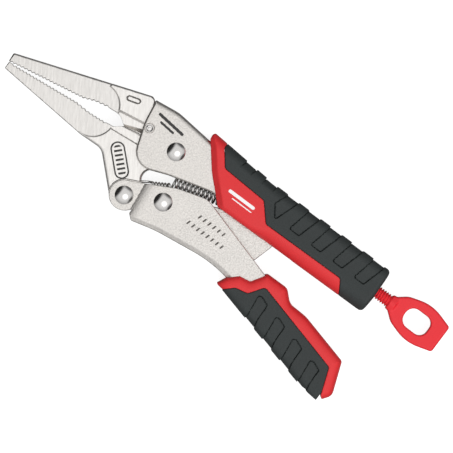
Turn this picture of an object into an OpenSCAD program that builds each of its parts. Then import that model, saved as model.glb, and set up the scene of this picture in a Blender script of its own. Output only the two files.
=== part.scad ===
// Long-nose locking pliers, lying on one side of their grips.
// The linkage lies in the XY plane: the jaws point along -X and the handles along +X.
// Outlines are measured from the main pivot, in millimetres, and place() moves the
// whole object so that the origin is under the middle of its box.

/* [Sheet metal] */
// Thickness of the frame and lever sheet
sheet = 2.2; // [1.8:0.1:2.4]
// Half of the gap between the side plates of the frame and of the lever
half_gap = 4.7; // [4.6:0.1:5]
// Half of the gap between the lever's ears
ear_gap = 3.4; // [3.3:0.1:3.6]
// Thickness of the toggle link's sheet
link_sheet = 1.6; // [1.2:0.1:2]

/* [Pivots] */
// Jaw to lever pivot, X
lever_pivot_x = -7.3; // [-8:0.1:-7]
// Jaw to lever pivot, Y
lever_pivot_y = -30.1; // [-30.5:0.1:-29.5]
// Lever to link pivot, X
link_pivot_x = 9; // [8.5:0.1:9.5]
// Lever to link pivot, Y
link_pivot_y = -22; // [-22.5:0.1:-21.5]
// Radius of the main pivot rivet's shank
main_rivet_r = 3.5; // [3:0.1:3.7]
// Radius of the two lever rivets' shanks
lever_rivet_r = 3.2; // [2.8:0.1:3.4]
// Radius of the rivet heads
rivet_head_r = 4.35; // [4:0.05:4.6]
// Height of the rivet heads
rivet_head_h = 1.9; // [1.4:0.1:2.4]
// Radial clearance of every running fit
running_fit = 0.05; // [0.02:0.01:0.09]

/* [Jaws] */
// Half thickness of the lower jaw
jaw_half = 4.4; // [4:0.1:4.5]
// Half thickness of the noses where they leave the shanks
nose_root_half = 4; // [3.6:0.1:4.2]
// Half thickness of the noses at the tips
nose_tip_half = 2; // [1.5:0.1:2.6]
// Pitch of the gripping teeth
tooth_pitch = 1.8; // [1.5:0.1:2.4]
// Depth of the gripping teeth
tooth_depth = 0.7; // [0.4:0.1:1]

/* [Adjusting screw] */
// Height of the screw's axis above the main pivot
screw_y = 3.9; // [3.7:0.1:4.2]
// Outer radius of the thread
screw_r = 3.15; // [3:0.05:3.2]
// Thread pitch
thread_pitch = 1.27; // [1:0.01:1.5]
// Half thickness of the ring at the end of the screw
ring_half = 2.4; // [1.8:0.1:3]

/* [Spring] */
// Outer radius of the coils
coil_r = 3.4; // [3:0.1:3.5]
// Radius of the spring wire
wire_r = 0.6; // [0.4:0.05:0.7]

/* [Grips] */
// Half width of both grips, which the object rests on
grip_half = 10.3; // [9.8:0.1:11]
// Thickness of the soft cover on the grips' sides
cover_t = 1.7; // [1.2:0.1:2.2]
// Depth of the finger pockets in the soft cover
pocket_depth = 0.6; // [0.3:0.1:1]
// Radius of the grips' long edges
grip_edge_r = 5; // [3:0.5:6]

/* [Hidden] */
$fn = 48;
STEEL = [0.86, 0.84, 0.82];
BRIGHT = [0.93, 0.92, 0.9];
RED = [0.85, 0.16, 0.2];
BLACK = [0.2, 0.21, 0.22];

plate_out = half_gap + sheet;
ear_out = ear_gap + sheet;
link_half = half_gap - 0.4;
ear_jaw_half = ear_gap - 0.2;
lever_pivot = [lever_pivot_x, lever_pivot_y];
link_pivot = [link_pivot_x, link_pivot_y];
nose_pivot = [61.2, screw_y];
lobe_r = 6.8;
tip_x = -87.2;
ring_x = 148.8;
top_y = 17.7;
bottom_y = -52.6;
far = 200;

// Steps in each rounded corner of an outline
corner_steps = 5;
function unit(v) = v / norm(v);
// The points of one corner p, rounded by its radius p[2], between neighbours a and b
function corner(p, a, b) =
  let (q = [p[0], p[1]], u = unit([a[0], a[1]] - q), v = unit([b[0], b[1]] - q))
  let (half = acos(max(-1, min(1, u * v))) / 2, c = q + unit(u + v) * p[2] / sin(half))
  let (s = q + u * p[2] / tan(half) - c, e = q + v * p[2] / tan(half) - c)
  let (from = atan2(s[1], s[0]), turn = (atan2(e[1], e[0]) - from + 540) % 360 - 180)
  [for (i = [0 : corner_steps])
    c + p[2] * [cos(from + turn * i / corner_steps), sin(from + turn * i / corner_steps)]];
// An outline of [x, y] or [x, y, radius] corners, with the radii applied
function soft(path) =
  let (n = len(path))
  [for (i = [0 : n - 1])
    each (len(path[i]) < 3 || path[i][2] == 0
      ? [[path[i][0], path[i][1]]]
      : corner(path[i], path[(i + n - 1) % n], path[(i + 1) % n]))];
// Points on a circle, from angle a0 to a1
function arc(c, r, a0, a1, steps = 8) =
  [for (i = [0 : steps]) c + r * [cos(a0 + (a1 - a0) * i / steps), sin(a0 + (a1 - a0) * i / steps)]];
// A row of saw teeth from p to q; a positive depth cuts to the left of the way
function teeth(p, q, depth) =
  let (n = floor(norm(q - p) / tooth_pitch), step = (q - p) / n)
  let (side = depth * [-unit(step)[1], unit(step)[0]])
  [for (i = [0 : n - 1], k = [0, 1]) p + step * (i + k / 2) + side * k];
// A row of teeth along each stretch of a bite
function toothed(bite) =
  [for (i = [0 : len(bite) - 2]) each teeth(bite[i], bite[i + 1], tooth_depth)];
function lower_by(path, d) = [for (p = path) [p[0], p[1] - d, len(p) > 2 ? p[2] : 0]];

module place() translate([-(tip_x + ring_x) / 2, -(top_y + bottom_y) / 2, grip_half]) children();
module slab(half) translate([0, 0, -half]) linear_extrude(2 * half) children();
// Solid between two heights, on both sides of the middle plane
module both_sides(low, high) {
  for (side = [0, 1]) mirror([0, 0, side]) translate([0, 0, low]) linear_extrude(high - low) children();
}
module at(p) translate([p[0], p[1], 0]) children();
module hole(p, r) at(p) cylinder(h = 4 * grip_half, r = r, center = true);

// ---- Frame and upper jaw ----
frame_top = [[-22.4, 13.5, 0.8], [-9.6, 15.2, 20], [9, 13.4, 20], [110, 13.2]];
frame_bottom = [[110, -5, 3], [24, -5, 20], [3, -10.8, 12], [-14.2, -17.4, 9.5]];

module upper_frame() {
  color(STEEL)
    difference() {
      slab(plate_out) polygon(soft(concat(frame_top, frame_bottom)));
      slab(half_gap)
        polygon(soft(concat([[-far, -12]], lower_by(frame_top, sheet), [[far, 11], [far, -far], [-far, -far]])));
      hole([0, 0], main_rivet_r);
      hole(stud_at, stud_r);
      hole(spring_pin_at, spring_pin_r);
    }
}

// The bite runs straight from the tip, then curves away to hold round stock
upper_bite = [[-86.2, -12.7], [-49.4, -6], [-43.6, -3.7], [-37.2, -2.3]];
stud_at = [-16.3, 1.4];
stud_r = 2.2;

// Radius of the round step between each nose and its shank
nose_step_r = 10.6;
// Removes the sides of a nose: a step with a round root at c, then a taper to the tip
module nose_sides(c) {
  for (side = [0, 1]) mirror([0, 0, side])
    intersection() {
      slab(far) union() {
        translate(c) circle(r = nose_step_r);
        translate([-far, -far]) square([far + c[0], 2 * far]);
      }
      rotate([90, 0, 0]) translate([0, 0, -far / 2]) linear_extrude(far)
        polygon([[tip_x - 1, nose_tip_half], [-31, nose_root_half], [-20, nose_root_half],
                 [-20, 20], [tip_x - 1, 20]]);
    }
}

module upper_jaw() {
  outline = concat([[-24.6, 13.8, 0.8], [tip_x, -8.3, 0.6], [-86.8, -12.5]], toothed(upper_bite),
    [[-37.2, -2.3], [-33, -1.9], [-30.6, -2.1], [-26.6, -4.7], [-18.2, -2.8]],
    arc([0, 0], lobe_r + 0.6, 194, 60), [[3.8, 10.8], [-9.6, 12.3], [-21.9, 10.9], [-23, 13.4]]);
  color(BRIGHT)
    difference() {
      slab(half_gap - 0.05) polygon(soft(outline));
      nose_sides([-42.2, -4.6]);
      hole(stud_at, stud_r);
      both_sides(half_gap - 0.55, far) cutter_face();
      both_sides(half_gap - 0.45, far) hull() {
        translate([-32, 7]) circle(r = 1.1, $fn = 24);
        translate([-28, 8.2]) circle(r = 1.1, $fn = 24);
      }
    }
}
// The ground face beside the upper jaw's cutting edge
module cutter_face() polygon([[-31.6, 0.2], [-20, 2.2], [-16, 2.9], [-16, -6], [-31.6, -6]]);

// Stud that holds the upper jaw between the plates, peened flush
module jaw_stud() {
  color(STEEL) at(stud_at) {
    cylinder(h = 2 * plate_out, r = stud_r, center = true);
    both_ends(plate_out) cylinder(h = 0.3, r = 1.4);
  }
}
module both_ends(z) {
  for (side = [0, 1]) mirror([0, 0, side]) translate([0, 0, z]) children();
}

// Domed rivet with a small rim under each head, through plates whose faces are at +-grip
module rivet(grip, shank_r) {
  rim = 0.35;
  dome_r = rivet_head_r - 0.3;
  rise = rivet_head_h - rim;
  ball = (dome_r * dome_r + rise * rise) / (2 * rise);
  profile = concat([[0, 0], [rivet_head_r, 0], [rivet_head_r, rim]],
    arc([0, rivet_head_h - ball], ball, asin((ball - rise) / ball), 90, 10));
  cylinder(h = 2 * grip + 0.02, r = shank_r, center = true);
  both_ends(grip) rotate_extrude() polygon(profile);
}

module main_pivot_rivet() color(BRIGHT) rivet(plate_out, main_rivet_r);

// ---- Lower jaw ----
lower_bite = [[-34, -8.4], [-43.4, -9.2], [-50.4, -8.9], [-84.6, -12.6]];
notch_at = [-1.5, -17.1];
hook_at = [-6.6, -21.6];
// Clear of the lever's ear through its whole swing
ear_pocket_r = 7.7;

module lower_jaw() {
  outline = soft(concat(
    [[-32.6, -8.2]], toothed(lower_bite),
    [[-84.6, -12.6], [-86.6, -12.9, 0.2], [-86.4, -16.4, 0.6], [-60, -18.4, 40], [-40, -19.9, 20],
     [-28.6, -19.4, 6], [-16.4, -31, 14]],
    arc(lever_pivot, 7, 225, 360, 12),
    [[-1.4, -24]], arc(notch_at, 4.7, 240, 118),
    [[-2.6, -12.2]], arc([0, 0], lobe_r, -25, 208, 14),
    [[-18.2, -4.1], [-27.2, -5.5], [-30, -7.8]]));
  color(BRIGHT)
    difference() {
      slab(jaw_half) polygon(outline);
      nose_sides([-41.2, -8.8]);
      both_sides(ear_jaw_half, far) {
        at(lever_pivot) circle(r = ear_pocket_r);
        at(lever_pivot) rotate(54) translate([0, -30]) square([30, 30 + ear_pocket_r]);
        at(lever_pivot) rotate(54) translate([-2, -20]) square([32, 20 + 7]);
      }
      both_sides(jaw_half - 0.4, far)
        polygon([[-31.4, -7], [-30, -9.6], [-16, -8.2], [-12, -3], [-31.4, -3]]);
      both_sides(jaw_half - 0.35, far) difference() {
        oval(3.5);
        oval(2.9);
      }
      hole([0, 0], main_rivet_r + running_fit);
      hole(lever_pivot, lever_rivet_r + running_fit);
      hole(hook_at, 1.1);
      slab(0.95) hull() {
        translate(hook_at) circle(r = 1.1, $fn = 24);
        translate(notch_at + [-2, -1]) circle(r = 1.6, $fn = 24);
      }
    }
}
// Long oval of a given half width, the badge frame on the lower jaw
module oval(r) hull() {
  translate([-21, -15.6]) circle(r = r, $fn = 32);
  translate([-16.2, -22.4]) circle(r = r, $fn = 32);
}

// ---- Lever ----
lever_top = [[-3.1, -20.3], [10.2, -13.1, 8], [24.6, -8.6, 9], [66, -20.6, 10], [115, -36]];
lever_bottom = [[112.5, -47.6], [62, -34.2, 30], [44, -30.6, 60], [14, -34.6, 60], [2, -37.7, 1.5], [-0.5, -35.3]];
joggle_tilt = 7;

// Side plates seen along the joggle line: near the middle plane at the ears, wider behind
module joggled_plates() {
  rotate(joggle_tilt) rotate([90, 0, 0]) translate([0, 0, -far]) linear_extrude(2 * far)
    for (side = [-1, 1]) polygon([
      [-40, side * ear_gap], [-5.2, side * ear_gap], [-1.2, side * half_gap], [far, side * half_gap],
      [far, side * plate_out], [-1.2, side * plate_out], [-5.2, side * ear_out], [-40, side * ear_out]]);
}

module lever_side() {
  polygon(soft(concat(lever_top, lever_bottom, [[-0.5, -33]])));
  polygon(concat(arc(lever_pivot, 7.1, 126, 324, 14), [[0, -33], [0, -19], [-3.1, -20.3]]));
}

module lever_channel() {
  color(STEEL)
    difference() {
      union() {
        intersection() {
          slab(plate_out) lever_side();
          joggled_plates();
        }
        slab(half_gap + 0.1) lever_web();
      }
      hole(lever_pivot, lever_rivet_r);
      hole(link_pivot, lever_rivet_r);
    }
}
// The folded edge of the channel, one sheet thick, along its outer side
module lever_web() {
  raised = [for (p = lever_bottom) [p[0], p[1] + sheet, len(p) > 2 ? p[2] : 0]];
  difference() {
    polygon(soft(concat([[112.5, -40]], lever_bottom, [[-0.5, -20]])));
    polygon(soft(concat([[130, -20], [130, -49.8]], raised, [[-20, -35.3 + sheet], [-20, -20]])));
  }
}

module jaw_rivet() color(BRIGHT) at(lever_pivot) rivet(ear_out, lever_rivet_r);
module link_rivet() color(BRIGHT) at(link_pivot) rivet(plate_out, lever_rivet_r);

// ---- Toggle link ----
link_nose_r = 3;
module link_side() {
  polygon(soft(concat(
    arc(link_pivot, 6, 250, 100),
    [[21, -13.4, 8], [30.5, -8.9, 6], [45, -4.3, 10]],
    arc(nose_pivot, link_nose_r, 120, -10),
    [[60.8, -10, 12], [57.8, -20.4, 1]])));
}
module toggle_link() {
  color(STEEL)
    difference() {
      slab(link_half) link_side();
      slab(link_half - link_sheet)
        polygon([[-5, -32], [-5, -12], [40, -2], [56, 1], [56, -15], [30, -21], [22, -22.5], [14, -32]]);
      hole(link_pivot, lever_rivet_r + running_fit);
    }
}

// ---- Adjusting screw ----
screw_tip_x = 66.3;
screw_from = 71;
nut_from = 98;
nut_to = 110;
thread_from = 92;
thread_to = 119.5;

module along_x(x) translate([x, screw_y, 0]) rotate([0, 90, 0]) children();

module screw_nut() {
  color(STEEL) difference() {
    translate([nut_from, screw_y - 5.4, -half_gap]) cube([nut_to - nut_from, 10.8, 2 * half_gap]);
    along_x(nut_from - 1) cylinder(h = nut_to - nut_from + 2, r = screw_r + running_fit);
  }
}

// Hardened end of the screw, which bears on the nose of the link
module screw_tip() {
  color(STEEL) along_x(screw_tip_x)
    rotate_extrude() polygon(concat([[0, 0]], arc([1, 1.6], 1.6, -90, 0, 6), [[2.6, screw_from - screw_tip_x],
      [0, screw_from - screw_tip_x]]));
}

// Screw shank, with its thread as rings as deep as the thread
module adjusting_screw() {
  turns = floor((thread_to - thread_from) / thread_pitch);
  root_r = screw_r - 0.6 * thread_pitch;
  color(RED) along_x(screw_from) rotate_extrude() polygon(concat(
    [[0, 0], [screw_r, 0], [screw_r, thread_from - screw_from]],
    [for (i = [0 : turns - 1], k = [0 : 2]) [k == 1 ? root_r : screw_r,
      thread_from - screw_from + thread_pitch * (i + [0.1, 0.5, 0.9][k])]],
    [[screw_r, thread_to - screw_from], [2.4, thread_to - screw_from], [2.4, 125 - screw_from],
     [0, 125 - screw_from]]));
}

// Half of the ring's outline, from the collar to the flat end, about the screw's axis
ring_side = [[119.6, 3.4, 0.4], [121.2, 3.8, 1], [125.4, 7.2, 8], [136.3, 10.7, 20], [ring_x, 7, 1.5]];
module screw_ring() {
  back = [for (i = [len(ring_side) - 1 : -1 : 0]) [ring_side[i][0], -ring_side[i][1], ring_side[i][2]]];
  color(RED) translate([0, screw_y, 0]) difference() {
    union() {
      slab(ring_half) polygon(soft(concat(ring_side, back)));
      translate([119.6, 0, 0]) rotate([0, 90, 0]) cylinder(h = 3.4, r = 3.4);
    }
    slab(far) polygon(soft([[128.1, -5.3, 4], [128.1, 5.3, 4], [142, 5.3, 3.4], [142, -5.3, 3.4]]));
    translate([119, 0, 0]) rotate([0, 90, 0]) cylinder(h = 6, r = 2.4);
  }
}

// ---- Spring ----
spring_pin_at = [43, -0.8];
spring_pin_r = 1.5;
coil_from = [7.3, -11.6];
coil_to = [34, -3.5];
module spring_pin() color(STEEL) at(spring_pin_at) cylinder(h = 2 * plate_out, r = spring_pin_r, center = true);

// Straight wire between two points of the middle plane
module wire(p, q) {
  d = q - p;
  at(p) rotate(atan2(d[1], d[0])) rotate([0, 90, 0]) cylinder(h = norm(d), r = wire_r, $fn = 16);
}
module tension_spring() {
  axis = coil_to - coil_from;
  loop_r = spring_pin_r + wire_r + 0.15;
  color(STEEL) {
    at(coil_from) rotate(atan2(axis[1], axis[0])) rotate([0, 90, 0]) difference() {
      cylinder(h = norm(axis), r = coil_r);
      translate([0, 0, 2 * wire_r]) cylinder(h = norm(axis) - 4 * wire_r, r = coil_r - 2 * wire_r);
    }
    wire(coil_from + [0.3, 0.1], hook_at);
    at(hook_at) cylinder(h = 5, r = wire_r, center = true, $fn = 16);
    wire(coil_to - [0.3, 0.1], spring_pin_at - loop_r * unit(axis));
    at(spring_pin_at) rotate_extrude() translate([loop_r, 0]) circle(r = wire_r, $fn = 16);
  }
}

// ---- Grips ----
// Long bar with rounded edges, between two heights across its line, at an angle about Z.
// The inner core of a grip is the same bar, set in at the sides and at the outer edge.
module rounded_bar(angle, low, high, side_in = 0, edge_in = 0) {
  r = grip_edge_r - edge_in;
  half = grip_half - side_in;
  rotate(angle) rotate([90, 0, 90]) translate([0, 0, -far]) linear_extrude(2 * far)
    polygon(soft([[low, -half, r], [high, -half, r], [high, half, r], [low, half, r]]));
}
// Half-space of the plane to the right of x, as deep as the grips
module right_of(x) translate([x, -far, -far]) cube([far, 2 * far, 2 * far]);
module left_of(x) translate([x - far, -far, -far]) cube([far, 2 * far, 2 * far]);

upper_grip_outline = [[8.6, 22], [112.3, 22], [112.3, -6, 1], [108.8, -9.4], [31, -9.6], [18.2, 2.8, 25],
                      [8.8, 14.6, 1]];
upper_cover_outline = [[15.6, 30], [16.6, 14.7, 2], [22.4, 7.3, 2], [45.4, 6.2, 2], [52.6, -1.9, 2],
                       [94.6, -1.3, 2], [103, -14], [120, -14], [120, 30]];
slope = -4.2;
back_cover_t = 1;

// The upper grip's back, which slopes down from its front end to a level stretch
module upper_back(side_in = 0, edge_in = 0) {
  intersection() {
    rounded_bar(0, -30, 15.1 - edge_in, side_in, edge_in);
    right_of(44);
  }
  intersection() {
    rounded_bar(slope, -50, 18.3 - edge_in, side_in, edge_in);
    left_of(44);
  }
}
module upper_grip_body() {
  intersection() {
    slab(grip_half) polygon(soft(upper_grip_outline));
    upper_back();
    rounded_bar(0.7, -9.1, 30);
  }
}
module upper_core() {
  intersection() {
    upper_back(cover_t, back_cover_t);
    left_of(110.6);
  }
}

module upper_pockets() {
  both_sides(grip_half - pocket_depth, far) {
    polygon(soft([[27.9, 30], [27.9, 13.6, 0.6], [33, 12.4, 0.6], [34.4, 30]]));
    polygon(soft([[40.4, 30], [40, 12.2, 0.6], [45, 11.4, 0.6], [47, 30]]));
    polygon(soft([[56, 30], [50.2, 8.3, 0.6], [54.6, 2, 0.8], [64, 30]]));
    for (i = [0 : 3]) translate([12.3 * i, 0])
      polygon(soft([[68.5, 30], [62.3, 3, 0.8], [67.9, 2.8, 0.8], [75.7, 30]]));
  }
}

module upper_grip_shell() {
  color(RED) difference() {
    intersection() {
      upper_grip_body();
      union() {
        upper_core();
        difference() {
          slab(far) square(600, center = true);
          slab(far) polygon(soft(upper_cover_outline));
        }
      }
    }
    slab(plate_out) polygon(soft(concat(frame_top, frame_bottom)));
    slab(half_gap + 0.1) polygon([[0, -20], [0, -3], [72, -3], [72, -20]]);
    along_x(100) cylinder(h = 20, r = 4.2);
  }
}
module upper_grip_cover() {
  color(BLACK) difference() {
    intersection() {
      upper_grip_body();
      slab(far) polygon(soft(upper_cover_outline));
    }
    upper_core();
    upper_pockets();
    along_x(100) cylinder(h = 20, r = 4.2);
  }
}

lower_grip_outline = [[51.3, -35.8, 0.6], [52.6, -31.6, 2], [58.2, -27.2, 2], [62.4, -26.8, 2], [67.2, -19.2, 3],
                      [78.6, -19.6, 5], [86, -25.6, 10], [93, -24.6, 20], [118.6, -31.2, 2.5], [124.2, -46.6, 5],
                      [119.6, -52.2, 0.5], [112.6, -53.2], [56, -39.5]];
lower_cover_outline = [[40, -48], [54.6, -37.6], [59, -33.4, 2], [65, -32.2, 3], [69.8, -25.1, 2],
                       [115, -36.8, 1.5], [120.2, -51], [122, -60], [40, -60]];
lower_slope = -13.5;
lower_edge = -23.9;

module lower_grip_body() {
  intersection() {
    slab(grip_half) polygon(soft(lower_grip_outline));
    rounded_bar(lower_slope, lower_edge, 30);
  }
}
module lower_core() rounded_bar(lower_slope, lower_edge + back_cover_t, 40, cover_t, back_cover_t);
module lower_pockets() {
  both_sides(grip_half - pocket_depth, far)
    for (i = [0 : 3]) translate([12.2 * i, -3.2 * i])
      polygon(soft([[71.4, -70], [69.7, -30.3, 0.5], [71.1, -29.9, 0.5], [75.6, -31.5, 0.8], [78.4, -70]]));
}
// Room for the lever inside the grip
module lever_room() slab(plate_out) polygon(soft(concat(lever_top, lever_bottom)));

module lower_grip_shell() {
  color(RED) difference() {
    intersection() {
      lower_grip_body();
      union() {
        lower_core();
        difference() {
          slab(far) square(600, center = true);
          slab(far) polygon(soft(lower_cover_outline));
        }
      }
    }
    lever_room();
  }
}
module lower_grip_cover() {
  color(BLACK) difference() {
    intersection() {
      lower_grip_body();
      slab(far) polygon(soft(lower_cover_outline));
    }
    lower_core();
    lower_pockets();
  }
}

place() upper_frame();
place() upper_jaw();
place() jaw_stud();
place() main_pivot_rivet();
place() screw_nut();
place() spring_pin();
place() upper_grip_shell();
place() upper_grip_cover();
place() tension_spring();
place() lower_jaw();
place() lever_channel();
place() jaw_rivet();
place() link_rivet();
place() lower_grip_shell();
place() lower_grip_cover();
place() toggle_link();
place() screw_tip();
place() adjusting_screw();
place() screw_ring();
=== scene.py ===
"""Looks for the long-nose locking pliers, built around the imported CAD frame.

Shapes are signed distance fields, turned into meshes on a grid. Their outlines are in
millimetres from the main pivot, as in the CAD design, with z = 0 on the middle plane.
"""
import math

import bpy
import numpy as np
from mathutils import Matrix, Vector


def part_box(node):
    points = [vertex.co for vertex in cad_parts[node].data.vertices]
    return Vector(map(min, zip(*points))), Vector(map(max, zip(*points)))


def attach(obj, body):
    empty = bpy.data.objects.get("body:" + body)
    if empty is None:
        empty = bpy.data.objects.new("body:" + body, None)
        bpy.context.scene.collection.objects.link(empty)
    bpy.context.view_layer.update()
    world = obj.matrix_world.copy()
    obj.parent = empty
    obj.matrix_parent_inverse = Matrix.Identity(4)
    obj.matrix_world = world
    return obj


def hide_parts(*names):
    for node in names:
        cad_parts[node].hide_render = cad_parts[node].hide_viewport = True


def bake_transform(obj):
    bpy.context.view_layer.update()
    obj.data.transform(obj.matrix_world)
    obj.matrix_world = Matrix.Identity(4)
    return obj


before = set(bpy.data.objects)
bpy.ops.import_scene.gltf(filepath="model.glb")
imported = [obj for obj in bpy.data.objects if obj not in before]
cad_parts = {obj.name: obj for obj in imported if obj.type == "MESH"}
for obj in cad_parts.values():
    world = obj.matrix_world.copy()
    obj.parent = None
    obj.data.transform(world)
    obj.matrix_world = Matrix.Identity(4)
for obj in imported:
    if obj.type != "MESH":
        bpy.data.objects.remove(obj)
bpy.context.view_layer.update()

MM = 0.001
DIAGONAL = math.sqrt(0.5)
low_corner, high_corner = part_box("main_pivot_rivet")
PIVOT = (np.array(low_corner) + np.array(high_corner)) / 2

# ---- Outlines ----


def unit(v):
    return v / np.hypot(*v)


def soft(path, steps=6):
    """A closed outline of (x, y) or (x, y, radius) corners, with the radii applied."""
    points = []
    for i, p in enumerate(path):
        q = np.array(p[:2], float)
        if len(p) < 3 or p[2] == 0:
            points.append(q)
            continue
        u = unit(np.array(path[i - 1][:2], float) - q)
        v = unit(np.array(path[(i + 1) % len(path)][:2], float) - q)
        half = math.acos(max(-1, min(1, float(u @ v)))) / 2
        centre = q + unit(u + v) * p[2] / math.sin(half)
        start = q + u * p[2] / math.tan(half) - centre
        end = q + v * p[2] / math.tan(half) - centre
        a = math.atan2(start[1], start[0])
        turn = (math.atan2(end[1], end[0]) - a + 3 * math.pi) % (2 * math.pi) - math.pi
        for k in range(steps + 1):
            t = a + turn * k / steps
            points.append(centre + p[2] * np.array([math.cos(t), math.sin(t)]))
    return points


def arc(c, r, a0, a1, steps=10):
    angles = np.radians(np.linspace(a0, a1, steps + 1))
    return [(c[0] + r * math.cos(a), c[1] + r * math.sin(a)) for a in angles]


def toothed(bite, pitch=1.8, depth=0.7):
    """A row of saw teeth along each stretch of a bite, cut to the left of the way."""
    points = []
    for p, q in zip(bite[:-1], bite[1:]):
        p, q = np.array(p, float), np.array(q, float)
        n = int(np.hypot(*(q - p)) / pitch)
        step = (q - p) / n
        side = depth * np.array([-unit(step)[1], unit(step)[0]])
        for i in range(n):
            points += [tuple(p + step * i), tuple(p + step * (i + 0.5) + side)]
    return points


def outline(path):
    """Signed distance to a closed outline in the XY plane, negative inside."""
    corners = [tuple(p[:2]) for p in soft(path)]

    def distance(x, y):
        x, y = np.broadcast_arrays(x, y)
        nearest = np.full(x.shape, 1e18)
        inside = np.zeros(x.shape, bool)
        for (ax, ay), (bx, by) in zip(corners, corners[1:] + corners[:1]):
            dx, dy = bx - ax, by - ay
            if dx * dx + dy * dy < 1e-12:
                continue
            px, py = x - ax, y - ay
            t = np.clip((px * dx + py * dy) / (dx * dx + dy * dy), 0, 1)
            nearest = np.minimum(nearest, (px - t * dx) ** 2 + (py - t * dy) ** 2)
            if dy:
                inside ^= ((ay > y) != (by > y)) & (px < py * dx / dy)
        return np.where(inside, -1, 1) * np.sqrt(nearest)

    return distance


def circle(c, r):
    return lambda x, y: np.hypot(x - c[0], y - c[1]) - r


def oval(p, q, r):
    p, q = np.array(p, float), np.array(q, float)
    d = q - p

    def distance(x, y):
        t = np.clip(((x - p[0]) * d[0] + (y - p[1]) * d[1]) / (d @ d), 0, 1)
        return np.hypot(x - p[0] - t * d[0], y - p[1] - t * d[1]) - r

    return distance


# ---- Combining shapes ----


def both(a, b, r=0.0):
    """Where a and b both are, with the edge between them rounded."""
    return np.minimum(np.maximum(a, b), -r) + np.hypot(np.maximum(a + r, 0), np.maximum(b + r, 0))


def either(a, b, r=0.0):
    return -both(-a, -b, r)


def without(a, b, r=0.0):
    return both(a, -b, r)


def ramp(t):
    t = np.clip(t, 0, 1)
    return t * t * (3 - 2 * t)


def nearest_of(shapes, x, y):
    """The union of several shapes in the XY plane."""
    distance = shapes[0](x, y)
    for shape in shapes[1:]:
        distance = np.minimum(distance, shape(x, y))
    return distance


def stops(*spans):
    """Grid lines through (from, to, step) spans that follow each other."""
    lines = [np.linspace(a, b, max(1, round((b - a) / s)) + 1)[:-1] for a, b, s in spans]
    return np.concatenate(lines + [[spans[-1][1]]])


def across(*spans):
    """Grid lines on both sides of the middle plane."""
    half = stops(*spans)
    return np.concatenate([-half[::-1], half]) if half[0] > 0 else np.concatenate([-half[:0:-1], half])


# ---- Meshes ----


def surface(shape, xs, ys, zs):
    """Vertices, normals and quads of the surface where shape is 0, made on the grid by surface
    nets and then moved onto the surface by two Newton steps."""
    grid = shape(xs[:, None, None], ys[None, :, None], zs[None, None, :])
    grid = np.ascontiguousarray(np.broadcast_to(grid, (len(xs), len(ys), len(zs))))
    inside = grid < 0
    cells = tuple(n - 1 for n in grid.shape)
    total = np.zeros((3,) + cells)
    count = np.zeros(cells)
    lines = (xs, ys, zs)
    edges = []
    for axis in range(3):
        lo = [slice(None)] * 3
        hi = [slice(None)] * 3
        lo[axis], hi[axis] = slice(0, -1), slice(1, None)
        lo, hi = tuple(lo), tuple(hi)
        cross = inside[lo] != inside[hi]
        at = np.nonzero(cross)
        t = grid[lo][at] / (grid[lo][at] - grid[hi][at])
        place = [lines[k][at[k]] for k in range(3)]
        gap = np.diff(lines[axis])
        place[axis] = place[axis] + t * gap[at[axis]]
        others = [k for k in range(3) if k != axis]
        for du in (0, 1):
            for dv in (0, 1):
                cell = list(at)
                cell[others[0]] = cell[others[0]] - du
                cell[others[1]] = cell[others[1]] - dv
                flat = np.ravel_multi_index(cell, cells)
                np.add.at(count.reshape(-1), flat, 1)
                for k in range(3):
                    np.add.at(total[k].reshape(-1), flat, place[k])
        edges.append((at, inside[lo][at]))
    active = count > 0
    index = np.full(cells, -1)
    index[active] = np.arange(active.sum())
    points = np.stack([total[k][active] / count[active] for k in range(3)], 1)
    start = points.copy()
    step, reach = 1e-3, 0.3
    for _ in range(2):
        value = shape(*points.T)
        slope = np.stack([shape(*(points + step * np.eye(3)[k]).T) - value for k in range(3)], 1) / step
        length = np.maximum((slope**2).sum(1), 0.25)
        move = -slope * (value / length)[:, None]
        points = start + np.clip(points + move - start, -reach, reach)
    normals = slope / np.maximum(np.sqrt((slope**2).sum(1)), 1e-9)[:, None]
    quads = []
    for axis, (at, out) in enumerate(edges):
        u, v = (axis + 1) % 3, (axis + 2) % 3
        ring = []
        for du, dv in ((1, 1), (0, 1), (0, 0), (1, 0)):
            cell = list(at)
            cell[u] = cell[u] - du
            cell[v] = cell[v] - dv
            ring.append(index[tuple(cell)])
        quad = np.stack(ring, 1)
        quads.append(np.where(out[:, None], quad, quad[:, ::-1]))
    return points, normals, np.concatenate(quads)


def mesh_object(name, points, normals, faces):
    mesh = bpy.data.meshes.new(name)
    size = faces.shape[1]
    mesh.vertices.add(len(points))
    mesh.vertices.foreach_set("co", (points * MM + PIVOT).astype(np.float32).ravel())
    mesh.loops.add(faces.size)
    mesh.loops.foreach_set("vertex_index", faces.astype(np.int32).ravel())
    mesh.polygons.add(len(faces))
    mesh.polygons.foreach_set("loop_start", np.arange(0, faces.size, size, dtype=np.int32))
    mesh.update(calc_edges=True)
    mesh.validate()
    mesh.polygons.foreach_set("use_smooth", np.ones(len(mesh.polygons), bool))
    if normals is not None:
        mesh.normals_split_custom_set_from_vertices([tuple(n) for n in normals])
    mesh.update()
    piece = bpy.data.objects.new(name, mesh)
    bpy.context.scene.collection.objects.link(piece)
    return piece


def ring_faces(rows, steps):
    """Quads between rows of points that each go once round."""
    return np.array([
        (i * steps + k, i * steps + (k + 1) % steps, (i + 1) * steps + (k + 1) % steps, (i + 1) * steps + k)
        for i in range(rows - 1) for k in range(steps)])


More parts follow.
